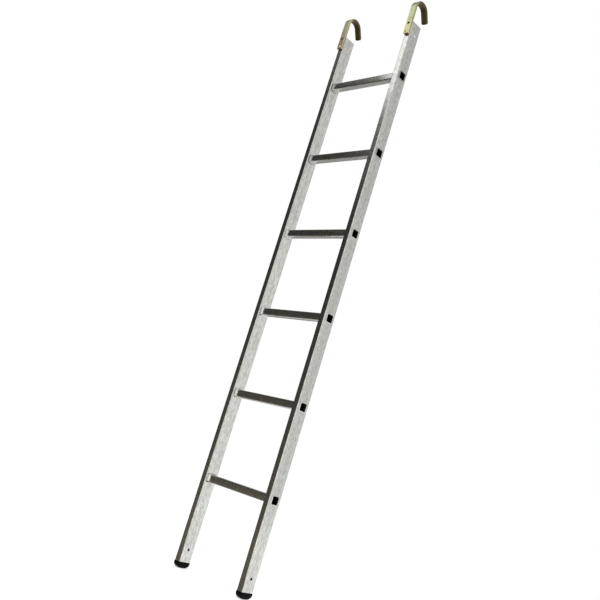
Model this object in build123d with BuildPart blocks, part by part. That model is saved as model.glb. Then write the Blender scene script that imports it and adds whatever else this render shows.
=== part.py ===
"""Scaffold access ladder: box stiles, square tube rungs, hooks at the head and rubber feet.

X runs across the ladder, -Y is the climber's side and +Z runs up the stiles. The origin is on the
axis of the hooks' seat, midway between the stiles.
"""
import math
import os

from build123d import *

# Ladder
LADDER_WIDTH = 320.0  # over the outer faces of the stiles
RUNG_COUNT = 6
RUNG_PITCH = 280.0
FIRST_RUNG_RISE = 264.0  # from the stile's lower end to the first rung's axis
HEAD_RISE = 194.0  # from the top rung's axis to the stile's upper end

# Stile: an extruded box section
STILE_WIDTH = 22.0
STILE_DEPTH = 45.0
STILE_CORNER = 2.5
STILE_WALL = 1.6
STILE_DEBURR = 0.4

# Rung: a square tube with slightly round faces and fine ribs on its tread, front and back
RUNG_SIZE = 25.0
RUNG_CORNER = 4.0
RUNG_WALL = 1.5
CROWN_RADIUS = 130.0  # of each face
RIBBED_SIDES = 3
RIBBED_RANGE = 270.0  # degrees that the ribbed faces take up round the rung
GROOVE_PITCH = 2.4
GROOVE_WIDTH = 1.1
GROOVE_DEPTH = 0.5
BEAD_PROFILE = ((0.0, 2.4), (1.6, 3.0), (4.2, 2.1), (7.0, 0.3))  # swelling: distance from the stile, rise
SWAGE_LENGTH = 8.0  # widened end of the rung, inside the stile
SWAGE_SIZE = 26.6
LIP_THICKNESS = 2.0  # rim over the stile's outer face
LIP_RISE = 1.5
MOUTH_SIZE = 24.4  # opening at the rim

# Clearances
FIT_CLEARANCE = 0.1  # rungs and shanks in their holes
PLUG_CLEARANCE = 0.2  # plugs in the stiles

# Hook: a flat bar bent over a rail
BAR_WIDTH = 22.0
BAR_THICKNESS = 8.0
BAR_EDGE = 0.8
SEAT_RADIUS = 24.5
HOOK_SWEEP = 151.0  # degrees of bend
HOOK_LEG = 38.0
HOOK_OVERLAP = 49.5  # strap below the stile's upper end
HOOK_RISE = 53.0  # from the stile's upper end to the start of the bend
STRAP_END_RADIUS = 3.0
TIP_CHAMFER = 4.0

# Hook screw: countersunk, with a hexagon socket
SCREW_SHANK = 6.0  # diameter
SCREW_HEAD = 10.0  # diameter
SCREW_HEAD_ANGLE = 90.0
SCREW_SOCKET = 4.0  # across the flats
SCREW_SOCKET_DEPTH = 2.4
SCREW_BITE = 15.0  # depth in the plug
SCREW_DROP = 10.0  # axis below the stile's upper end

# Domed rivets: one low in each hook strap, one across each stile's head
RIVET_SHANK = 5.0  # diameter
RIVET_HEAD = 9.5  # diameter
RIVET_RISE = 2.0
RIVET_BITE = 12.0  # depth in the plug
RIVET_DROP = 41.0  # axis below the stile's upper end
TAIL_HEAD = 8.5  # diameter of the head formed on the inner face
TAIL_RISE = 1.6
HEAD_RIVET_SETBACK = 6.0  # axis behind the stile's middle

# Head plug: the block that the hook fasteners bite into
HEAD_PLUG_INSET = 1.5  # below the stile's upper end
HEAD_PLUG_TAIL = 18.0  # below the rivets' axes

# Foot: a rubber plug with a rounded sole
SOLE_HEIGHT = 19.0
SOLE_MARGIN = 2.5  # sole proud of the stile
SOLE_FLAT = 8.0  # level stretch of the sole, front to back
SOLE_SIDE_RISE = 14.0  # height where the rounded sole meets its upright ends
SOLE_EDGE = 8.0
SOLE_RIM = 0.8
TREAD_OFFSETS = (4.0, 9.5)  # tread grooves, from the ends of the level stretch
TREAD_WIDTH = 1.8
TREAD_DEPTH = 1.4
FOOT_PLUG_HEIGHT = 52.0
FOOT_PLUG_WALL = 4.0
BUTTON_SIZE = 8.0  # diameter of the buttons that snap into the side walls
BUTTON_RISE = 39.0  # axis above the stile's lower end
BUTTON_PROUD = 0.4

# Places that follow from the sizes
OUTER_X = LADDER_WIDTH / 2
INNER_X = OUTER_X - STILE_WIDTH
STILE_X = OUTER_X - STILE_WIDTH / 2
SWAGE_X = OUTER_X - SWAGE_LENGTH
LIP_X = OUTER_X + LIP_THICKNESS
FRONT_Y = -SEAT_RADIUS
STILE_Y = FRONT_Y + STILE_DEPTH / 2
STRAP_Y = FRONT_Y - BAR_THICKNESS
HEAD_Z = -HOOK_RISE
FIRST_RUNG_Z = HEAD_Z - HEAD_RISE - (RUNG_COUNT - 1) * RUNG_PITCH
RUNG_HEIGHTS = [FIRST_RUNG_Z + step * RUNG_PITCH for step in range(RUNG_COUNT)]
FOOT_Z = FIRST_RUNG_Z - FIRST_RUNG_RISE
GROUND_Z = FOOT_Z - SOLE_HEIGHT
SCREW_Z = HEAD_Z - SCREW_DROP
RIVET_Z = HEAD_Z - RIVET_DROP
BUTTON_Z = FOOT_Z + BUTTON_RISE
BORE_WIDTH = STILE_WIDTH - 2 * STILE_WALL
BORE_DEPTH = STILE_DEPTH - 2 * STILE_WALL
BORE_CORNER = STILE_CORNER - STILE_WALL
PLUG_FRONT_Y = STILE_Y - BORE_DEPTH / 2 + PLUG_CLEARANCE
SIDES = {"left": -1, "right": 1}


def save(part, name):
    """Labels a finished piece and writes it as a STEP file."""
    part.label = name
    export_step(part, f"parts/{name}.step")


def across(x, y, z):
    """Plane square to X, with its own axes along Y and Z."""
    return Plane((x, y, z), x_dir=(0, 1, 0), z_dir=(1, 0, 0))


def facing(x, y, z):
    """Plane that faces the climber, with its own axes along X and Z."""
    return Plane((x, y, z), x_dir=(1, 0, 0), z_dir=(0, -1, 0))


def rounded_square(size):
    """The rung's outline or one parallel to it."""
    return RectangleRounded(size, size, RUNG_CORNER + (size - RUNG_SIZE) / 2)


def make_stile(x):
    """Box section with holes for its rungs, fasteners and foot buttons."""
    with BuildPart() as stile:
        with BuildSketch(Plane((x, STILE_Y, FOOT_Z))):
            RectangleRounded(STILE_WIDTH, STILE_DEPTH, STILE_CORNER)
            RectangleRounded(BORE_WIDTH, BORE_DEPTH, BORE_CORNER, mode=Mode.SUBTRACT)
        extrude(amount=HEAD_Z - FOOT_Z)
        ends = stile.edges().group_by(Axis.Z)
        chamfer(ends[0] + ends[-1], length=STILE_DEBURR)
        with BuildSketch(across(x, STILE_Y, 0)):
            with Locations([(0, height) for height in RUNG_HEIGHTS]):
                rounded_square(RUNG_SIZE + 2 * FIT_CLEARANCE)
            with Locations((HEAD_RIVET_SETBACK, RIVET_Z)):
                Circle(RIVET_SHANK / 2 + FIT_CLEARANCE)
            with Locations((0, BUTTON_Z)):
                Circle(BUTTON_SIZE / 2 + FIT_CLEARANCE)
        extrude(amount=STILE_WIDTH, both=True, mode=Mode.SUBTRACT)
        with BuildSketch(across(x, STILE_Y, 0)):
            with Locations([(0, height) for height in RUNG_HEIGHTS]):
                rounded_square(SWAGE_SIZE + 2 * FIT_CLEARANCE)
        extrude(amount=math.copysign(STILE_WIDTH, x), mode=Mode.SUBTRACT)
        with BuildSketch(facing(x, FRONT_Y, 0)):
            with Locations((0, SCREW_Z)):
                Circle(SCREW_SHANK / 2 + FIT_CLEARANCE)
            with Locations((0, RIVET_Z)):
                Circle(RIVET_SHANK / 2 + FIT_CLEARANCE)
        extrude(amount=-STILE_DEPTH / 2, mode=Mode.SUBTRACT)
    return stile.part


def make_rung(height):
    """Ribbed square tube, beaded inside the stiles, widened in their outer walls and rimmed over them."""
    opening = RUNG_SIZE - 2 * RUNG_WALL
    grooves = int((RUNG_SIZE - 2 * RUNG_CORNER) // GROOVE_PITCH)
    reach = CROWN_RADIUS - RUNG_SIZE / 2
    spread = (grooves - 1) * math.degrees(GROOVE_PITCH / CROWN_RADIUS)
    with BuildPart() as rung:
        with BuildSketch(across(-SWAGE_X, STILE_Y, height)) as section:
            Rectangle(RUNG_SIZE, RUNG_SIZE)
            for crown in ((-reach, 0), (0, -reach), (reach, 0), (0, reach)):
                with Locations(crown):
                    Circle(CROWN_RADIUS, mode=Mode.INTERSECT)
            fillet(section.vertices(), radius=RUNG_CORNER)
            with PolarLocations(-reach, RIBBED_SIDES, angular_range=RIBBED_RANGE):
                with PolarLocations(CROWN_RADIUS, grooves, -spread / 2, spread, endpoint=True):
                    Rectangle(2 * GROOVE_DEPTH, GROOVE_WIDTH, mode=Mode.SUBTRACT)
        extrude(amount=2 * SWAGE_X)
        for side in SIDES.values():
            for distance, rise in BEAD_PROFILE:
                with BuildSketch(across(side * (INNER_X - distance), STILE_Y, height)):
                    rounded_square(RUNG_SIZE + 2 * rise)
            loft()
            with BuildSketch(across(side * SWAGE_X, STILE_Y, height)):
                rounded_square(RUNG_SIZE)
            with BuildSketch(across(side * OUTER_X, STILE_Y, height)):
                rounded_square(SWAGE_SIZE)
            loft(ruled=True)
            with BuildSketch(across(side * OUTER_X, STILE_Y, height)):
                rounded_square(SWAGE_SIZE + 2 * LIP_RISE)
            extrude(amount=side * LIP_THICKNESS)
            lip_face = rung.faces().sort_by(Axis.X)[-1 if side > 0 else 0]
            fillet(lip_face.outer_wire().edges(), radius=LIP_THICKNESS / 2)
        with BuildSketch(across(-SWAGE_X, STILE_Y, height)):
            rounded_square(opening)
        extrude(amount=2 * SWAGE_X, mode=Mode.SUBTRACT)
        for side in SIDES.values():
            with BuildSketch(across(side * SWAGE_X, STILE_Y, height)):
                rounded_square(opening)
            with BuildSketch(across(side * LIP_X, STILE_Y, height)):
                rounded_square(MOUTH_SIZE)
            loft(ruled=True, mode=Mode.SUBTRACT)
    return rung.part


def make_hook(x):
    """Flat bar that lies on the stile's front face and bends over its head."""
    bar_y = FRONT_Y - BAR_THICKNESS / 2
    low_z = HEAD_Z - HOOK_OVERLAP
    with BuildPart() as hook:
        with BuildLine(across(x, 0, 0)):
            strap = Line((bar_y, low_z), (bar_y, 0))
            bend = JernArc(strap @ 1, strap % 1, SEAT_RADIUS + BAR_THICKNESS / 2, -HOOK_SWEEP)
            PolarLine(bend @ 1, HOOK_LEG, direction=bend % 1)
        with BuildSketch(Plane((x, bar_y, low_z))):
            Rectangle(BAR_WIDTH, BAR_THICKNESS)
        sweep()
        strap_end = hook.faces().sort_by(Axis.Z)[0]
        fillet(strap_end.edges().filter_by(Axis.Y), radius=STRAP_END_RADIUS)
        tip = hook.faces().filter_by(GeomType.PLANE).sort_by(Axis.Y)[-1]
        chamfer(tip.edges().sort_by(SortBy.LENGTH)[:2], length=TIP_CHAMFER)
        rims = hook.edges().filter_by(lambda edge: abs(abs(edge.center().X - x) - BAR_WIDTH / 2) < BAR_EDGE)
        fillet(rims.filter_by(lambda edge: edge.length > BAR_THICKNESS), radius=BAR_EDGE)
        with Locations(facing(x, STRAP_Y, SCREW_Z)):
            CounterSinkHole(
                SCREW_SHANK / 2 + FIT_CLEARANCE,
                SCREW_HEAD / 2 + FIT_CLEARANCE,
                BAR_THICKNESS,
                SCREW_HEAD_ANGLE,
            )
        with Locations(facing(x, STRAP_Y, RIVET_Z)):
            Hole(RIVET_SHANK / 2 + FIT_CLEARANCE, BAR_THICKNESS)
    return hook.part


def make_screw(x):
    """Countersunk socket screw through the hook strap into the head plug."""
    head_depth = (SCREW_HEAD - SCREW_SHANK) / 2 / math.tan(math.radians(SCREW_HEAD_ANGLE / 2))
    end = PLUG_FRONT_Y + SCREW_BITE - STRAP_Y
    with BuildPart() as screw:
        with BuildSketch(Plane((x, STRAP_Y, SCREW_Z))):
            with BuildLine():
                Polyline(
                    (0, 0),
                    (SCREW_HEAD / 2, 0),
                    (SCREW_SHANK / 2, head_depth),
                    (SCREW_SHANK / 2, end),
                    (0, end),
                    close=True,
                )
            make_face()
        revolve(axis=Axis((x, STRAP_Y, SCREW_Z), (0, 1, 0)))
        with BuildSketch(facing(x, STRAP_Y, SCREW_Z)):
            RegularPolygon(SCREW_SOCKET / 2, side_count=6, major_radius=False)
        extrude(amount=-SCREW_SOCKET_DEPTH, mode=Mode.SUBTRACT)
    return screw.part


def make_hook_rivet(x):
    """Domed rivet low in the hook strap, biting into the head plug."""
    end = PLUG_FRONT_Y + RIVET_BITE - STRAP_Y
    with BuildPart() as rivet:
        with BuildSketch(Plane((x, STRAP_Y, RIVET_Z))):
            with BuildLine():
                TangentArc((0, -RIVET_RISE), (RIVET_HEAD / 2, 0), tangent=(1, 0))
                Polyline(
                    (RIVET_HEAD / 2, 0),
                    (RIVET_SHANK / 2, 0),
                    (RIVET_SHANK / 2, end),
                    (0, end),
                    (0, -RIVET_RISE),
                )
            make_face()
        revolve(axis=Axis((x, STRAP_Y, RIVET_Z), (0, 1, 0)))
    return rivet.part


def make_head_rivet(side):
    """Rivet across the stile's head: domed outside, with a flatter formed head inside."""
    seat = (side * OUTER_X, STILE_Y + HEAD_RIVET_SETBACK, RIVET_Z)
    with BuildPart() as rivet:
        with BuildSketch(Plane(seat, x_dir=(0, 1, 0), z_dir=(0, 0, side))):
            with BuildLine():
                TangentArc((0, -RIVET_RISE), (RIVET_HEAD / 2, 0), tangent=(1, 0))
                Polyline(
                    (RIVET_HEAD / 2, 0),
                    (RIVET_SHANK / 2, 0),
                    (RIVET_SHANK / 2, STILE_WIDTH),
                    (TAIL_HEAD / 2, STILE_WIDTH),
                )
                TangentArc((0, STILE_WIDTH + TAIL_RISE), (TAIL_HEAD / 2, STILE_WIDTH), tangent=(1, 0))
                Line((0, STILE_WIDTH + TAIL_RISE), (0, -RIVET_RISE))
            make_face()
        revolve(axis=Axis(seat, (1, 0, 0)))
    return rivet.part


def make_head_plug(x):
    """Block in the stile's head, drilled for the hook fasteners and the head rivet."""
    low_z = RIVET_Z - HEAD_PLUG_TAIL
    with BuildPart() as plug:
        with BuildSketch(Plane((x, STILE_Y, low_z))):
            RectangleRounded(
                BORE_WIDTH - 2 * PLUG_CLEARANCE, BORE_DEPTH - 2 * PLUG_CLEARANCE, BORE_CORNER - PLUG_CLEARANCE
            )
        extrude(amount=HEAD_Z - HEAD_PLUG_INSET - low_z)
        with Locations(facing(x, PLUG_FRONT_Y, SCREW_Z)):
            Hole(SCREW_SHANK / 2 + FIT_CLEARANCE, SCREW_BITE + FIT_CLEARANCE)
        with Locations(facing(x, PLUG_FRONT_Y, RIVET_Z)):
            Hole(RIVET_SHANK / 2 + FIT_CLEARANCE, RIVET_BITE + FIT_CLEARANCE)
        with BuildSketch(across(x, STILE_Y, 0)):
            with Locations((HEAD_RIVET_SETBACK, RIVET_Z)):
                Circle(RIVET_SHANK / 2 + FIT_CLEARANCE)
        extrude(amount=STILE_WIDTH, both=True, mode=Mode.SUBTRACT)
    return plug.part


def make_foot(x):
    """Rubber plug with a rounded, grooved sole and a button in each of the stile's side walls."""
    half_width = STILE_WIDTH / 2 + SOLE_MARGIN
    half_depth = STILE_DEPTH / 2 + SOLE_MARGIN
    flat_end = SOLE_FLAT / 2
    round_depth = half_depth - flat_end
    plug_width = BORE_WIDTH - 2 * PLUG_CLEARANCE
    plug_depth = BORE_DEPTH - 2 * PLUG_CLEARANCE
    with BuildPart() as foot:
        with BuildSketch(across(x, STILE_Y, GROUND_Z)):
            with BuildLine():
                Line((-flat_end, 0), (flat_end, 0))
                heel = (flat_end, SOLE_SIDE_RISE)
                EllipticalCenterArc(heel, round_depth, SOLE_SIDE_RISE, 270, arc_size=90)
                Polyline(
                    (half_depth, SOLE_SIDE_RISE),
                    (half_depth, SOLE_HEIGHT),
                    (-half_depth, SOLE_HEIGHT),
                    (-half_depth, SOLE_SIDE_RISE),
                )
                toe = (-flat_end, SOLE_SIDE_RISE)
                EllipticalCenterArc(toe, round_depth, SOLE_SIDE_RISE, 180, arc_size=90)
            make_face()
        extrude(amount=half_width, both=True)
        cheeks = foot.faces().filter_by(Axis.X).edges()
        fillet(cheeks - foot.faces().sort_by(Axis.Z)[-1].edges(), radius=SOLE_EDGE)
        fillet(foot.faces().sort_by(Axis.Z)[-1].edges(), radius=SOLE_RIM)
        with BuildSketch(across(x, STILE_Y, GROUND_Z)):
            for offset in TREAD_OFFSETS:
                rise = SOLE_SIDE_RISE * (1 - (1 - (offset / round_depth) ** 2) ** 0.5)
                with Locations((-flat_end - offset, 0), (flat_end + offset, 0)):
                    Rectangle(TREAD_WIDTH, 2 * (rise + TREAD_DEPTH))
        extrude(amount=half_width, both=True, mode=Mode.SUBTRACT)
        with BuildSketch(Plane((x, STILE_Y, FOOT_Z))):
            RectangleRounded(plug_width, plug_depth, BORE_CORNER - PLUG_CLEARANCE)
        extrude(amount=FOOT_PLUG_HEIGHT)
        with BuildSketch(across(x, STILE_Y, BUTTON_Z)):
            Circle(BUTTON_SIZE / 2)
        extrude(amount=STILE_WIDTH / 2 + BUTTON_PROUD, both=True)
        with BuildSketch(Plane((x, STILE_Y, FOOT_Z))):
            Rectangle(plug_width - 2 * FOOT_PLUG_WALL, plug_depth - 2 * FOOT_PLUG_WALL)
        extrude(amount=FOOT_PLUG_HEIGHT, mode=Mode.SUBTRACT)
    return foot.part


def main():
    """Builds every piece in its place and writes it."""
    os.makedirs("parts", exist_ok=True)
    for side, sign in SIDES.items():
        x = sign * STILE_X
        save(make_stile(x), f"{side}_stile")
        save(make_hook(x), f"{side}_hook")
        save(make_screw(x), f"{side}_hook_screw")
        save(make_hook_rivet(x), f"{side}_hook_rivet")
        save(make_head_rivet(sign), f"{side}_head_rivet")
        save(make_head_plug(x), f"{side}_head_plug")
        save(make_foot(x), f"{side}_foot")
    for number, height in enumerate(RUNG_HEIGHTS, start=1):
        save(make_rung(height), f"rung_{number}")


if __name__ == "__main__":
    main()
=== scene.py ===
"""Finishes, studio and camera for a scaffold access ladder: box stiles, ribbed rungs, hooks and rubber feet.

Everything is in metres. X runs across the ladder, -Y faces the climber and +Z runs up the stiles.
"""
import logging
import math
from dataclasses import dataclass, field
from enum import Enum

import bpy
from mathutils import Matrix, Vector


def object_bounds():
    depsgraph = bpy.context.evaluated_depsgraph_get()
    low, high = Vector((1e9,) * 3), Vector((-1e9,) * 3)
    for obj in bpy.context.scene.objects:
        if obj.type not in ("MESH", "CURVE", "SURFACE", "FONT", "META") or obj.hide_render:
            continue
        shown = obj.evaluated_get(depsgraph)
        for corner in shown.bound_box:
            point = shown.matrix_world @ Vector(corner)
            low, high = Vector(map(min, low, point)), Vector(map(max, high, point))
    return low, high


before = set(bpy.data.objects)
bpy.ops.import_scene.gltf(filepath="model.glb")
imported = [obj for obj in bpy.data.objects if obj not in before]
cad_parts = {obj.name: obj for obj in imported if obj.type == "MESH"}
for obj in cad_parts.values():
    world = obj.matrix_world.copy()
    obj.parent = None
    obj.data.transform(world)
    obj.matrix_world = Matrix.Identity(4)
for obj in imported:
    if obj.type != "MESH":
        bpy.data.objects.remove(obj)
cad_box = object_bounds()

log = logging.getLogger("ladder")

Colour = tuple[float, float, float]
Point = tuple[float, float, float]
Span = tuple[float, float]
Socket = bpy.types.NodeSocket

WHITE: Colour = (1.0, 1.0, 1.0)
UNTURNED: Point = (0.0, 0.0, 0.0)
WHOLE: Span = (0.0, 1.0)
USUAL: Span = (0.3, 0.7)  # where most of a noise's values lie
METAL, NO_METAL, NO_GLOSS = 1.0, 0.0, 0.0
MIX_COLOURS = (6, 7)  # a Mix node's two colour inputs
MIX_COLOUR_RESULT = 2  # and its colour output


class Side(Enum):
    """The two sides of the ladder, as the climber sees them."""

    LEFT = "left"
    RIGHT = "right"


class Grain(Enum):
    """The way that a metal's drawing lines run, as the stretch of its texture space along X, Y and Z."""

    UP_THE_STILE = (1.0, 1.0, 0.0016)
    FLECKED_UP = (1.0, 1.0, 0.36)
    ALONG_THE_RUNG = (0.0030, 1.0, 1.0)
    FLECKED_ALONG = (0.28, 1.0, 1.0)
    ROUND_THE_BAR = (1.0, 0.05, 0.05)
    NONE = (1.0, 1.0, 1.0)


@dataclass(frozen=True)
class Pattern:
    """A layer of noise.

    The scale is in waves per metre of the mapped space and the detail in octaves. rough is how strong the
    finer octaves are, and shows is the span of values over which the layer comes in.
    """

    scale: float
    detail: float = 3.0
    rough: float = 0.55
    shows: Span = USUAL


BANDS = Pattern(70.0, 2.0, 0.6)
DIE_LINES = Pattern(900.0, 2.0, 0.7)
FLECKS = Pattern(200.0, 3.0, 0.75, (0.38, 0.62))
SMUDGES = Pattern(9.0, 5.0, 0.62, (0.35, 0.7))
SCRATCHES = Pattern(1.0, 1.0, shows=(0.70, 0.74))
DRIFT = Pattern(22.0, 3.0, 0.5)
STAINS = Pattern(48.0, 4.0, 0.6, (0.52, 0.72))
MILL_LINES = Pattern(1400.0, 2.0)
PATCHES = Pattern(260.0, 4.0, 0.6, (0.4, 0.7))
GRIT = Pattern(2600.0, 2.0)
DUST_FILM = Pattern(65.0, 5.0, 0.65, (0.5, 0.8))
PORES = Pattern(2200.0, 3.0, 0.6)


class Nodes:
    """A node tree, with short ways to add the nodes that the finishes and the studio share."""

    def __init__(self, owner: bpy.types.Material | bpy.types.World) -> None:
        """Empties the owner's tree.

        Args:
            owner: the material or world that the tree belongs to.
        """
        owner.use_nodes = True
        self.tree = owner.node_tree
        self.tree.nodes.clear()

    def add(self, kind: str) -> bpy.types.Node:
        """Adds a node of the kind that Blender calls by this name."""
        return self.tree.nodes.new(kind)

    def link(self, source: Socket, target: Socket) -> None:
        """Joins two sockets."""
        self.tree.links.new(source, target)

    def feed(self, target: Socket, value: Socket | float) -> None:
        """Gives a socket its value, a number or another socket's."""
        if isinstance(value, (int, float)):
            target.default_value = value
        else:
            self.link(value, target)

    def parts(self, vector: Socket) -> bpy.types.bpy_prop_collection:
        """The sockets with a vector's X, Y and Z."""
        node = self.add("ShaderNodeSeparateXYZ")
        self.link(vector, node.inputs[0])
        return node.outputs

    def noise(self, vector: Socket, pattern: Pattern) -> Socket:
        """Soft noise from 0 to 1.

        Args:
            vector: where it is read.
            pattern: its scale and detail.

        Returns:
            The socket with the noise.
        """
        node = self.add("ShaderNodeTexNoise")
        node.inputs["Scale"].default_value = pattern.scale
        node.inputs["Detail"].default_value = pattern.detail
        node.inputs["Roughness"].default_value = pattern.rough
        self.link(vector, node.inputs["Vector"])
        return node.outputs["Fac"]

    def span(self, value: Socket, source: Span, target: Span = WHOLE) -> Socket:
        """Maps one span of values to another, held at both ends.

        Args:
            value: the value to map.
            source: the start and end of its span.
            target: what the start and the end become.

        Returns:
            The socket with the mapped value.
        """
        node = self.add("ShaderNodeMapRange")
        node.inputs["From Min"].default_value, node.inputs["From Max"].default_value = source
        node.inputs["To Min"].default_value, node.inputs["To Max"].default_value = target
        self.link(value, node.inputs["Value"])
        return node.outputs["Result"]

    def maths(self, kind: str, first: Socket, second: Socket | float) -> Socket:
        """One sum on two values.

        Args:
            kind: Blender's name of the operation.
            first: the first value.
            second: the second value, a socket or a number.

        Returns:
            The socket with the result.
        """
        node = self.add("ShaderNodeMath")
        node.operation = kind
        self.feed(node.inputs[0], first)
        self.feed(node.inputs[1], second)
        return node.outputs[0]

    def total(self, first: Socket, *others: Socket) -> Socket:
        """The sum of several values."""
        for other in others:
            first = self.maths("ADD", first, other)
        return first

    def mix(self, share: Socket, first: Socket | float, second: Socket | float) -> Socket:
        """Mixes two values.

        Args:
            share: how much of the second value.
            first: a socket or a number.
            second: a socket or a number.

        Returns:
            The socket with the mixed value.
        """
        node = self.add("ShaderNodeMix")
        self.link(share, node.inputs["Factor"])
        self.feed(node.inputs["A"], first)
        self.feed(node.inputs["B"], second)
        return node.outputs["Result"]

    def blend(self, share: Socket, first: Socket | Colour, second: Socket | Colour) -> Socket:
        """Mixes two colours.

        Args:
            share: how much of the second colour.
            first: a socket or a colour.
            second: a socket or a colour.

        Returns:
            The socket with the mixed colour.
        """
        node = self.add("ShaderNodeMix")
        node.data_type = "RGBA"
        self.link(share, node.inputs["Factor"])
        for index, colour in zip(MIX_COLOURS, (first, second)):
            if isinstance(colour, tuple):
                node.inputs[index].default_value = (*colour, 1.0)
            else:
                self.link(colour, node.inputs[index])
        return node.outputs[MIX_COLOUR_RESULT]


class MaterialNodes(Nodes):
    """A material's nodes, read in object coordinates."""

    def __init__(self, name: str) -> None:
        """Makes an empty material.

        Args:
            name: the material's name.
        """
        self.material = bpy.data.materials.new(name)
        super().__init__(self.material)
        self.output = self.add("ShaderNodeOutputMaterial")
        self.coords = self.add("ShaderNodeTexCoord").outputs["Object"]

    def place(self) -> bpy.types.bpy_prop_collection:
        """The sockets with the object coordinates X, Y and Z."""
        return self.parts(self.coords)

    def mapped(self, stretch: Point, turn: Point = UNTURNED) -> Socket:
        """Object coordinates, stretched and turned.

        Args:
            stretch: scale of the texture space along X, Y and Z.
            turn: its rotation, in degrees.

        Returns:
            The socket with the mapped coordinates.
        """
        node = self.add("ShaderNodeMapping")
        node.inputs["Scale"].default_value = stretch
        node.inputs["Rotation"].default_value = [math.radians(angle) for angle in turn]
        self.link(self.coords, node.inputs["Vector"])
        return node.outputs["Vector"]

    def bump(self, height: Socket, strength: float, depth: float) -> Socket:
        """Turns a height into a normal.

        Args:
            height: the height, from 0 to 1.
            strength: how much of it shows.
            depth: the height of 1, in metres.

        Returns:
            The socket with the normal.
        """
        node = self.add("ShaderNodeBump")
        node.inputs["Strength"].default_value = strength
        node.inputs["Distance"].default_value = depth
        self.link(height, node.inputs["Height"])
        return node.outputs["Normal"]

    def surface(self, metallic: float, specular: float = 0.5) -> bpy.types.Node:
        """Adds the shader and joins it to the output.

        Args:
            metallic: 1 for bare metal, 0 for rubber and plastic.
            specular: strength of the gloss on what isn't metal.

        Returns:
            The shader node.
        """
        node = self.add("ShaderNodeBsdfPrincipled")
        node.inputs["Metallic"].default_value = metallic
        node.inputs["Specular IOR Level"].default_value = specular
        self.link(node.outputs["BSDF"], self.output.inputs["Surface"])
        return node


@dataclass(frozen=True)
class DrawnAluminium:
    """Bare extruded aluminium with die lines, short flecks, soft bands and handling marks."""

    name: str
    light: Colour
    dark: Colour
    smooth: float
    rough: float
    grain: Grain
    flecked: Grain
    # painted shade at the rungs' collars by the stiles, darker on the upper rungs
    shaded_at_collars: bool = False
    collar: Span = (0.124, 0.132)  # from the length of a rung without painted shade to its collar
    collar_shade_heights: Span = (-0.90, -0.45)  # from the lower rungs without painted shade to the upper ones with the most
    collar_shade: Colour = (0.20, 0.19, 0.175)
    collar_shade_share: float = 0.65
    band_share: float = 0.35
    smudge_share: float = 0.16
    fleck_share: float = 0.78
    line_sheen: Span = (-0.03, 0.03)
    fleck_sheen: Span = (-0.02, 0.03)
    scratch_stretch: Point = (420.0, 420.0, 9.0)
    scratch_turn: Point = (6.0, 9.0, 0.0)
    scratched_smudges: Span = (0.5, 0.6)
    scratch_sheen: float = 0.12
    scratch_depth: float = 0.6
    relief: float = 0.25
    relief_depth: float = 0.00008

    def paint_collar_shade(self, nodes: MaterialNodes, colour: Socket) -> Socket:
        """Paints shade on the collars by the stiles, more of it on the upper rungs.

        Args:
            nodes: the material's nodes.
            colour: the metal's colour without the painted shade.

        Returns:
            The socket with the colour under the painted shade.
        """
        place = nodes.place()
        by_the_stile = nodes.span(nodes.maths("ABSOLUTE", place["X"], 0.0), self.collar)
        upward = nodes.span(place["Z"], self.collar_shade_heights, (0.0, self.collar_shade_share))
        return nodes.blend(nodes.maths("MULTIPLY", by_the_stile, upward), colour, self.collar_shade)

    def scratches(self, nodes: MaterialNodes, smudges: Socket) -> Socket:
        """Thin scratches where the metal has been handled.

        Args:
            nodes: the material's nodes.
            smudges: the noise of the handling marks.

        Returns:
            The socket with the scratches, from 0 to 1.
        """
        lines = nodes.noise(nodes.mapped(self.scratch_stretch, self.scratch_turn), SCRATCHES)
        handled = nodes.span(smudges, self.scratched_smudges)
        return nodes.maths("MULTIPLY", nodes.span(lines, SCRATCHES.shows), handled)

    def material(self) -> bpy.types.Material:
        """The finish as a material."""
        nodes = MaterialNodes(self.name)
        lines = nodes.mapped(self.grain.value)
        bands = nodes.noise(lines, BANDS)
        die_lines = nodes.noise(lines, DIE_LINES)
        flecks = nodes.noise(nodes.mapped(self.flecked.value), FLECKS)
        smudges = nodes.noise(nodes.mapped(Grain.NONE.value), SMUDGES)
        scratches = self.scratches(nodes, smudges)
        tone = nodes.total(
            nodes.span(bands, BANDS.shows, (0.0, self.band_share)),
            nodes.span(smudges, SMUDGES.shows, (0.0, self.smudge_share)),
            nodes.span(flecks, FLECKS.shows, (0.0, self.fleck_share)),
        )
        sheen = nodes.total(
            nodes.span(die_lines, DIE_LINES.shows, self.line_sheen),
            nodes.span(smudges, USUAL, (self.smooth, self.rough)),
            nodes.span(flecks, USUAL, self.fleck_sheen),
            nodes.maths("MULTIPLY", scratches, self.scratch_sheen),
        )
        height = nodes.maths("SUBTRACT", die_lines, nodes.maths("MULTIPLY", scratches, self.scratch_depth))
        colour = nodes.blend(tone, self.light, self.dark)
        # painted shade: darkens the collars by the stiles, more on the upper rungs
        if self.shaded_at_collars:
            colour = self.paint_collar_shade(nodes, colour)
        shader = nodes.surface(METAL)
        nodes.link(colour, shader.inputs["Base Color"])
        nodes.link(sheen, shader.inputs["Roughness"])
        nodes.link(nodes.bump(height, self.relief, self.relief_depth), shader.inputs["Normal"])
        return nodes.material


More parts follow.
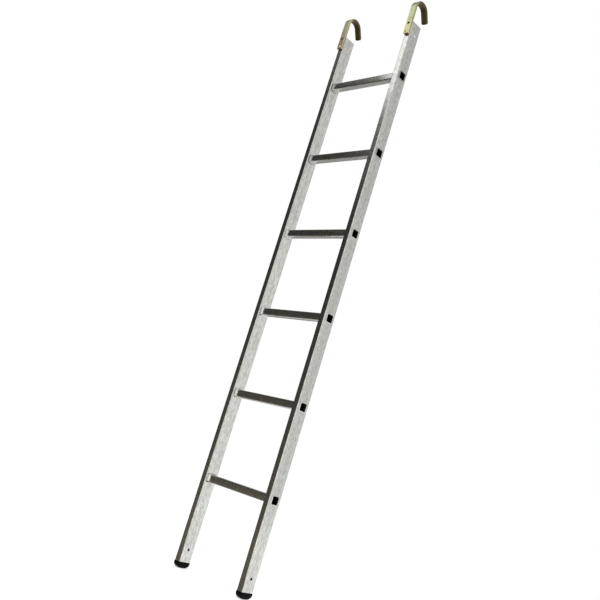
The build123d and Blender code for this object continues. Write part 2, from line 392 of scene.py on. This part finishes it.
@dataclass(frozen=True)
class PassivatedZinc:
    """Zinc plate with a yellow passivate.

    It is fawn on the left strap and straw on the right one, green and olive at their heads and stained bronze
    in places. From the bend on it turns brown and then umber on the leg, which is painted shade.
    """

    name: str
    fawn: Colour
    straw: Colour
    green: Colour
    olive: Colour
    bronze: Colour
    # painted shade from the bend on, then darker on the leg
    bend_shade: Colour
    leg_shade: Colour
    smooth: float
    rough: float
    gloss: float = 0.2
    wander: Span = (-0.02, 0.02)  # of the borders between the colours
    hook_to_hook: Span = (-0.15, 0.15)
    right_lift: float = 0.044  # how much lower the right strap turns olive
    strap_head: Span = (-0.058, 0.002)
    stain_turn: Point = (30.0, 50.0, 10.0)
    stain_share: float = 0.7
    stained_side: Span = (-0.16, 0.12)  # from the stained left to the clean right
    left_stain: float = 0.15
    bend: Span = (-0.031, -0.013)
    bend_wander: float = 0.15
    bend_metal: float = 0.6
    leg: Span = (0.006, 0.024)
    mill_sheen: Span = (-0.04, 0.04)
    relief: float = 0.2
    relief_depth: float = 0.00006

    def material(self) -> bpy.types.Material:
        """The finish as a material."""
        nodes = MaterialNodes(self.name)
        drift = nodes.noise(nodes.mapped(Grain.NONE.value), DRIFT)
        stains = nodes.noise(nodes.mapped(Grain.NONE.value, self.stain_turn), STAINS)
        mill_lines = nodes.noise(nodes.mapped(Grain.ROUND_THE_BAR.value), MILL_LINES)
        place = nodes.place()
        wander = nodes.span(drift, DRIFT.shows, self.wander)
        rightward = nodes.span(place["X"], self.hook_to_hook)
        height = nodes.total(place["Z"], wander, nodes.maths("MULTIPLY", rightward, self.right_lift))
        low = nodes.blend(rightward, self.fawn, self.straw)
        high = nodes.blend(rightward, self.green, self.olive)
        colour = nodes.blend(nodes.span(height, self.strap_head), low, high)
        tarnish = nodes.total(
            nodes.span(stains, STAINS.shows, (0.0, self.stain_share)),
            nodes.span(place["X"], self.stained_side, (self.left_stain, 0.0)),
        )
        colour = nodes.blend(tarnish, colour, self.bronze)
        past = nodes.total(place["Y"], nodes.maths("MULTIPLY", wander, self.bend_wander))
        # painted shade: brown from the bend on and umber on the leg, behind the strap
        colour = nodes.blend(nodes.span(past, self.bend), colour, self.bend_shade)
        colour = nodes.blend(nodes.span(past, self.leg), colour, self.leg_shade)
        sheen = nodes.total(
            nodes.span(stains, USUAL, (self.smooth, self.rough)),
            nodes.span(mill_lines, MILL_LINES.shows, self.mill_sheen),
        )
        shader = nodes.surface(METAL, self.gloss)
        nodes.link(colour, shader.inputs["Base Color"])
        nodes.link(nodes.span(past, self.bend, (METAL, self.bend_metal)), shader.inputs["Metallic"])
        nodes.link(sheen, shader.inputs["Roughness"])
        nodes.link(nodes.bump(mill_lines, self.relief, self.relief_depth), shader.inputs["Normal"])
        return nodes.material


@dataclass(frozen=True)
class PlainMetal:
    """Small turned or pressed metal pieces with a little tarnish."""

    name: str
    clean: Colour
    tarnish: Colour
    smooth: float
    rough: float
    metallic: float = METAL
    gloss: float = 0.5
    relief: float = 0.15
    relief_depth: float = 0.00005

    def material(self) -> bpy.types.Material:
        """The finish as a material."""
        nodes = MaterialNodes(self.name)
        plain = nodes.mapped(Grain.NONE.value)
        patches = nodes.noise(plain, PATCHES)
        grit = nodes.noise(plain, GRIT)
        colour = nodes.blend(nodes.span(patches, PATCHES.shows), self.clean, self.tarnish)
        shader = nodes.surface(self.metallic, self.gloss)
        nodes.link(colour, shader.inputs["Base Color"])
        nodes.link(nodes.span(patches, USUAL, (self.smooth, self.rough)), shader.inputs["Roughness"])
        nodes.link(nodes.bump(grit, self.relief, self.relief_depth), shader.inputs["Normal"])
        return nodes.material


@dataclass(frozen=True)
class MouldedRubber:
    """Moulded black rubber or plastic with a fine texture and a film of dust."""

    name: str
    body: Colour
    dust: Colour
    smooth: float
    rough: float
    gloss: float
    dust_share: float = 0.7
    relief: float = 0.35
    relief_depth: float = 0.00012

    def material(self) -> bpy.types.Material:
        """The finish as a material."""
        nodes = MaterialNodes(self.name)
        plain = nodes.mapped(Grain.NONE.value)
        film = nodes.noise(plain, DUST_FILM)
        pores = nodes.noise(plain, PORES)
        colour = nodes.blend(nodes.span(film, DUST_FILM.shows, (0.0, self.dust_share)), self.body, self.dust)
        shader = nodes.surface(NO_METAL, self.gloss)
        nodes.link(colour, shader.inputs["Base Color"])
        nodes.link(nodes.span(film, USUAL, (self.smooth, self.rough)), shader.inputs["Roughness"])
        nodes.link(nodes.bump(pores, self.relief, self.relief_depth), shader.inputs["Normal"])
        return nodes.material


STILE_FINISH = DrawnAluminium(
    "stile_aluminium",
    light=(0.77, 0.77, 0.731),
    dark=(0.47, 0.47, 0.446),
    smooth=0.09,
    rough=0.14,
    grain=Grain.UP_THE_STILE,
    flecked=Grain.FLECKED_UP,
)
RUNG_FINISH = DrawnAluminium(
    "rung_aluminium",
    light=(0.88, 0.88, 0.838),
    dark=(0.60, 0.60, 0.571),
    smooth=0.09,
    rough=0.14,
    grain=Grain.ALONG_THE_RUNG,
    flecked=Grain.FLECKED_ALONG,
    # with painted shade at the collars by the stiles
    shaded_at_collars=True,
)
HOOK_FINISH = PassivatedZinc(
    "hook_zinc",
    fawn=(0.55, 0.46, 0.34),
    straw=(0.60, 0.55, 0.28),
    green=(0.66, 0.69, 0.405),
    olive=(0.46, 0.50, 0.285),
    bronze=(0.50, 0.38, 0.22),
    # painted shade from the bend on and on the leg
    bend_shade=(0.145, 0.112, 0.053),
    leg_shade=(0.105, 0.086, 0.036),
    smooth=0.24,
    rough=0.38,
)
RIVET_FINISH = PlainMetal(
    "bright_rivet", clean=(0.80, 0.79, 0.77), tarnish=(0.64, 0.63, 0.61), smooth=0.20, rough=0.34
)
STRAP_RIVET_FINISH = PlainMetal(
    "straw_rivet", clean=(0.74, 0.70, 0.50), tarnish=(0.60, 0.54, 0.34), smooth=0.30, rough=0.46
)
SCREW_FINISH = PlainMetal(
    "black_screw",
    clean=(0.085, 0.066, 0.012),
    tarnish=(0.050, 0.038, 0.008),
    smooth=0.34,
    rough=0.50,
    metallic=NO_METAL,
    gloss=0.15,
)
PLUG_FINISH = MouldedRubber(
    "head_plug", body=(0.030, 0.030, 0.032), dust=(0.060, 0.060, 0.058), smooth=0.45, rough=0.6, gloss=0.4
)
FOOT_FINISH = MouldedRubber(
    "foot_rubber",
    body=(0.0022, 0.0022, 0.0023),
    dust=(0.008, 0.0077, 0.0072),
    smooth=0.40,
    rough=0.60,
    gloss=0.08,
)


def dress(nodes: list[str], finish: DrawnAluminium | PassivatedZinc | PlainMetal | MouldedRubber) -> None:
    """Puts one finish on several solids.

    Args:
        nodes: names of the solids.
        finish: the finish to put on them.
    """
    material = finish.material()
    for name in nodes:
        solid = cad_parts[name]
        solid.data.materials.clear()
        solid.data.materials.append(material)
        log.info("%s finished as %s", name, finish.name)


def pair(piece: str) -> list[str]:
    """The names of a piece's two solids, one on each side."""
    return [f"{side.value}_{piece}" for side in Side]


@dataclass
class Stiles:
    """The two box-section stiles."""

    solids: list[str] = field(default_factory=lambda: pair("stile"))

    def finish(self) -> None:
        """Dresses both stiles."""
        dress(self.solids, STILE_FINISH)


@dataclass
class Rungs:
    """The square ribbed rungs, from the foot up."""

    count: int = 6

    def finish(self) -> None:
        """Dresses every rung."""
        dress([f"rung_{number}" for number in range(1, self.count + 1)], RUNG_FINISH)


@dataclass
class Hooks:
    """The bent bars at the head, with their screws, rivets and the plugs behind them."""

    bars: list[str] = field(default_factory=lambda: pair("hook"))
    screws: list[str] = field(default_factory=lambda: pair("hook_screw"))
    strap_rivets: list[str] = field(default_factory=lambda: pair("hook_rivet"))
    head_rivets: list[str] = field(default_factory=lambda: pair("head_rivet"))
    plugs: list[str] = field(default_factory=lambda: pair("head_plug"))

    def finish(self) -> None:
        """Dresses the hooks and what holds them."""
        dress(self.bars, HOOK_FINISH)
        dress(self.screws, SCREW_FINISH)
        dress(self.strap_rivets, STRAP_RIVET_FINISH)
        dress(self.head_rivets, RIVET_FINISH)
        dress(self.plugs, PLUG_FINISH)


@dataclass
class Feet:
    """The rubber feet."""

    solids: list[str] = field(default_factory=lambda: pair("foot"))

    def finish(self) -> None:
        """Dresses both feet."""
        dress(self.solids, FOOT_FINISH)


def spot(turn: float, away: float, sideways: float, height: float) -> Point:
    """A point on an upright card or lamp stand that faces the ladder.

    Args:
        turn: bearing from the ladder, in degrees round from the climber's side to the right.
        away: distance from the ladder.
        sideways: distance along the card, to the left for one who faces the ladder.
        height: height above the hooks' seat.

    Returns:
        The point.
    """
    angle = math.radians(turn)
    across = away * math.sin(angle) - sideways * math.cos(angle)
    out = -away * math.cos(angle) - sideways * math.sin(angle)
    return (across, out, height)


@dataclass(frozen=True)
class SoftLamp:
    """An oblong soft lamp, its size in metres and its power in watts, that the metal mirrors or doesn't."""

    name: str
    place: Point
    aim: Point
    width: float
    height: float
    power: float
    mirrored: bool = True

    def build(self) -> None:
        """Makes the lamp and turns it to what it lights."""
        data = bpy.data.lights.new(self.name, "AREA")
        data.shape = "RECTANGLE"
        data.size = self.width
        data.size_y = self.height
        data.energy = self.power
        lamp = bpy.data.objects.new(self.name, data)
        bpy.context.scene.collection.objects.link(lamp)
        lamp.visible_glossy = self.mirrored
        lamp.location = self.place
        lamp.rotation_euler = (Vector(self.aim) - Vector(self.place)).to_track_quat("-Z", "Y").to_euler()


@dataclass(frozen=True)
class Cloth:
    """A drape's colours at the floor, at the hooks, high above them and along its upper edge."""

    low: Colour
    high: Colour
    crest: Colour
    hem: Colour
    high_from: float = -0.3
    rise: float = 0.4  # under 1, so that most of the change is by the floor
    crest_span: Span = (0.6, 1.1)
    hem_width: float = 0.4
    hem_fall: float = 2.0  # over 1, so that most of the change is by the edge

    def shade(self, nodes: MaterialNodes, floor_z: float, fore: Vector, rear: Vector) -> Socket:
        """The drape's colour, from the floor to its sloping upper edge.

        Args:
            nodes: the material's nodes.
            floor_z: height of the floor.
            fore: one end of the upper edge.
            rear: the other end.

        Returns:
            The socket with the colour.
        """
        place = nodes.place()
        risen = nodes.maths("POWER", nodes.span(place["Z"], (floor_z, self.high_from)), self.rise)
        colour = nodes.blend(risen, self.low, self.high)
        colour = nodes.blend(nodes.span(place["Z"], self.crest_span), colour, self.crest)
        run = (rear - fore).to_2d()
        climb = run * ((rear.z - fore.z) / run.length_squared)
        edge = nodes.maths("MULTIPLY", place["X"], climb.x)
        edge = nodes.maths("ADD", edge, fore.z - climb.dot(fore.to_2d()))
        edge = nodes.total(edge, nodes.maths("MULTIPLY", place["Y"], climb.y))
        below = nodes.maths("SUBTRACT", edge, place["Z"])
        depth = self.hem_width * math.hypot(1.0, climb.length)
        near_edge = nodes.maths("POWER", nodes.span(below, (0.0, depth), (1.0, 0.0)), self.hem_fall)
        return nodes.blend(near_edge, colour, self.hem)


KEY_LAMP = SoftLamp(
    "key", place=(2.6, -2.2, 1.0), aim=(0.0, 0.0, -0.9), width=2.8, height=2.9, power=28.0, mirrored=False
)
HIGH_FRONT_LAMP = SoftLamp(
    "high_front",
    place=spot(turn=-45.0, away=2.3, sideways=-0.6, height=1.50),
    aim=(0.0, 0.0, -0.3),
    width=1.5,
    height=2.1,
    power=7.3,
)
DRAPE = Cloth(
    low=(0.245, 0.220, 0.177),
    high=(0.063, 0.0612, 0.0585),
    crest=(0.22, 0.217, 0.211),
    hem=(0.36, 0.355, 0.345),
)
DRAPE_FOOT: Colour = (0.215, 0.200, 0.160)
DRAPE_TRAIN: Colour = (0.27, 0.26, 0.24)
GREY_CARD: Colour = (0.55, 0.55, 0.55)


@dataclass
class Studio:
    """White floor and surround, soft lamps, and dark cards that the bright metal mirrors."""

    floor_z: float
    floor_radius: float = 6.0
    floor_sides: int = 96
    floor_paint: Colour = (0.9, 0.9, 0.9)
    floor_glow: float = 0.50
    fade: Span = (0.0, 0.55)  # from the horizon to where the surround is as dim as the ceiling
    horizon: float = 0.90
    ceiling: float = 0.68
    turn: Span = (-0.3, 0.14)  # from the far side, behind on the left, to the near side
    far_side: float = 0.60
    near_side: float = 1.20
    ambient: float = 0.6
    card_reach: float = 2.0

    def surround(self) -> None:
        """A world that is white to the camera, dims upwards and to the rear in mirrors, and lights softly."""
        world = bpy.data.worlds.new("studio")
        bpy.context.scene.world = world
        nodes = Nodes(world)
        rays = nodes.add("ShaderNodeLightPath").outputs
        mirrored = nodes.maths("MAXIMUM", rays["Is Glossy Ray"], rays["Is Transmission Ray"])
        way = nodes.parts(nodes.add("ShaderNodeTexCoord").outputs["Generated"])
        upward = nodes.span(way["Z"], self.fade, (self.horizon, self.ceiling))
        round_about = nodes.maths("SUBTRACT", way["X"], way["Y"])
        round_about = nodes.span(round_about, self.turn, (self.far_side, self.near_side))
        level = nodes.mix(mirrored, self.ambient, nodes.maths("MULTIPLY", upward, round_about))
        level = nodes.mix(rays["Is Camera Ray"], level, 1.0)
        back = nodes.add("ShaderNodeBackground")
        back.inputs["Color"].default_value = (*WHITE, 1.0)
        nodes.link(level, back.inputs["Strength"])
        nodes.link(back.outputs["Background"], nodes.add("ShaderNodeOutputWorld").inputs["Surface"])

    def floor(self) -> None:
        """A wide pale floor under the feet that keeps the ladder's shadow."""
        bpy.ops.object.select_all(action="DESELECT")
        bpy.ops.mesh.primitive_circle_add(
            vertices=self.floor_sides,
            radius=self.floor_radius,
            fill_type="NGON",
            location=(0.0, 0.0, self.floor_z),
        )
        floor = bpy.context.object
        floor.name = "floor"
        nodes = MaterialNodes("floor")
        rays = nodes.add("ShaderNodeLightPath").outputs
        shader = nodes.surface(NO_METAL, NO_GLOSS)
        shader.inputs["Base Color"].default_value = (*self.floor_paint, 1.0)
        shader.inputs["Roughness"].default_value = 1.0
        shader.inputs["Emission Color"].default_value = (*WHITE, 1.0)
        seen = nodes.maths("MAXIMUM", rays["Is Camera Ray"], rays["Is Glossy Ray"])
        seen = nodes.maths("MAXIMUM", seen, rays["Is Transmission Ray"])
        nodes.link(nodes.maths("MULTIPLY", seen, self.floor_glow), shader.inputs["Emission Strength"])
        floor.data.materials.append(nodes.material)

    def card(self, name: str, corners: list[Point], colour: Colour | Cloth) -> None:
        """A card that only reflections see.

        Args:
            name: the card's name.
            corners: its four corners, in order round it, from the floor's to the upper edge's.
            colour: its colour, or a drape's colours.
        """
        bpy.ops.object.select_all(action="DESELECT")
        bpy.ops.mesh.primitive_plane_add(size=1.0)
        card = bpy.context.object
        card.name = name
        round_the_plane = (0, 1, 3, 2)
        for index, corner in zip(round_the_plane, corners):
            card.data.vertices[index].co = corner
        nodes = MaterialNodes(name)
        shader = nodes.surface(NO_METAL, NO_GLOSS)
        if isinstance(colour, Cloth):
            shade = colour.shade(nodes, self.floor_z, Vector(corners[2]), Vector(corners[3]))
            nodes.link(shade, shader.inputs["Base Color"])
        else:
            shader.inputs["Base Color"].default_value = (*colour, 1.0)
        shader.inputs["Roughness"].default_value = 1.0
        card.data.materials.append(nodes.material)
        card.visible_camera = False
        card.visible_diffuse = False
        card.visible_shadow = False

    def drape(self) -> None:
        """The dark drape before the ladder on its left, with its foot and train on the floor."""
        bearing, reach = -45.0, self.card_reach
        fore, rear = -1.0, 2.2
        fore_top, rear_top = -1.03, 5.37
        self.card(
            "drape",
            [
                spot(bearing, reach, rear, self.floor_z),
                spot(bearing, reach, fore, self.floor_z),
                spot(bearing, reach, fore, fore_top),
                spot(bearing, reach, rear, rear_top),
            ],
            DRAPE,
        )
        foot = self.floor_z + 0.003
        by_the_ladder = -0.034
        foot_left, foot_right = -1.4, 0.6
        self.card(
            "drape_foot",
            [
                spot(bearing, reach, rear, foot),
                spot(bearing, reach, fore, foot),
                (foot_right, by_the_ladder, foot),
                (foot_left, by_the_ladder, foot),
            ],
            DRAPE_FOOT,
        )
        train = foot + 0.001
        train_left, train_end = -2.9, 1.92
        near_right, far_right = -0.88, -1.76
        self.card(
            "drape_train",
            [
                (train_left, by_the_ladder, train),
                (train_left, train_end, train),
                (far_right, train_end, train),
                (near_right, by_the_ladder, train),
            ],
            DRAPE_TRAIN,
        )

    def grey_card(self) -> None:
        """A grey card behind the ladder on its left, that the undersides of the rungs mirror."""
        bearing, half_width, top = -133.0, 0.8, -0.7
        self.card(
            "grey_card",
            [
                spot(bearing, self.card_reach, half_width, self.floor_z),
                spot(bearing, self.card_reach, -half_width, self.floor_z),
                spot(bearing, self.card_reach, -half_width, top),
                spot(bearing, self.card_reach, half_width, top),
            ],
            GREY_CARD,
        )

    def build(self) -> None:
        """Sets up the whole studio."""
        self.surround()
        self.floor()
        KEY_LAMP.build()
        HIGH_FRONT_LAMP.build()
        self.drape()
        self.grey_card()


@dataclass
class Viewpoint:
    """The camera, tilted as the photograph shows the ladder."""

    place: Point = (1.8250, -1.6906, -1.5655)
    aim: Point = (0.0121, -0.0030, -1.0358)
    roll: float = 17.177
    lens: float = 47.794
    sensor: float = 36.0

    def build(self) -> None:
        """Makes the camera and gives it to the scene."""
        data = bpy.data.cameras.new("camera")
        data.sensor_width = self.sensor
        data.lens = self.lens
        camera = bpy.data.objects.new("camera", data)
        bpy.context.scene.collection.objects.link(camera)
        look = (Vector(self.aim) - Vector(self.place)).to_track_quat("-Z", "Y").to_matrix().to_4x4()
        tilt = Matrix.Rotation(math.radians(self.roll), 4, "Z")
        camera.matrix_world = Matrix.Translation(self.place) @ look @ tilt
        bpy.context.scene.camera = camera


def main() -> None:
    """Dresses the ladder and sets up its studio and camera."""
    logging.basicConfig(level=logging.INFO, format="%(name)s: %(message)s")
    Stiles().finish()
    Rungs().finish()
    Hooks().finish()
    Feet().finish()
    Studio(floor_z=cad_box[0].z).build()
    Viewpoint().build()
    bpy.context.scene.view_settings.view_transform = "Standard"


if __name__ == "__main__":
    main()
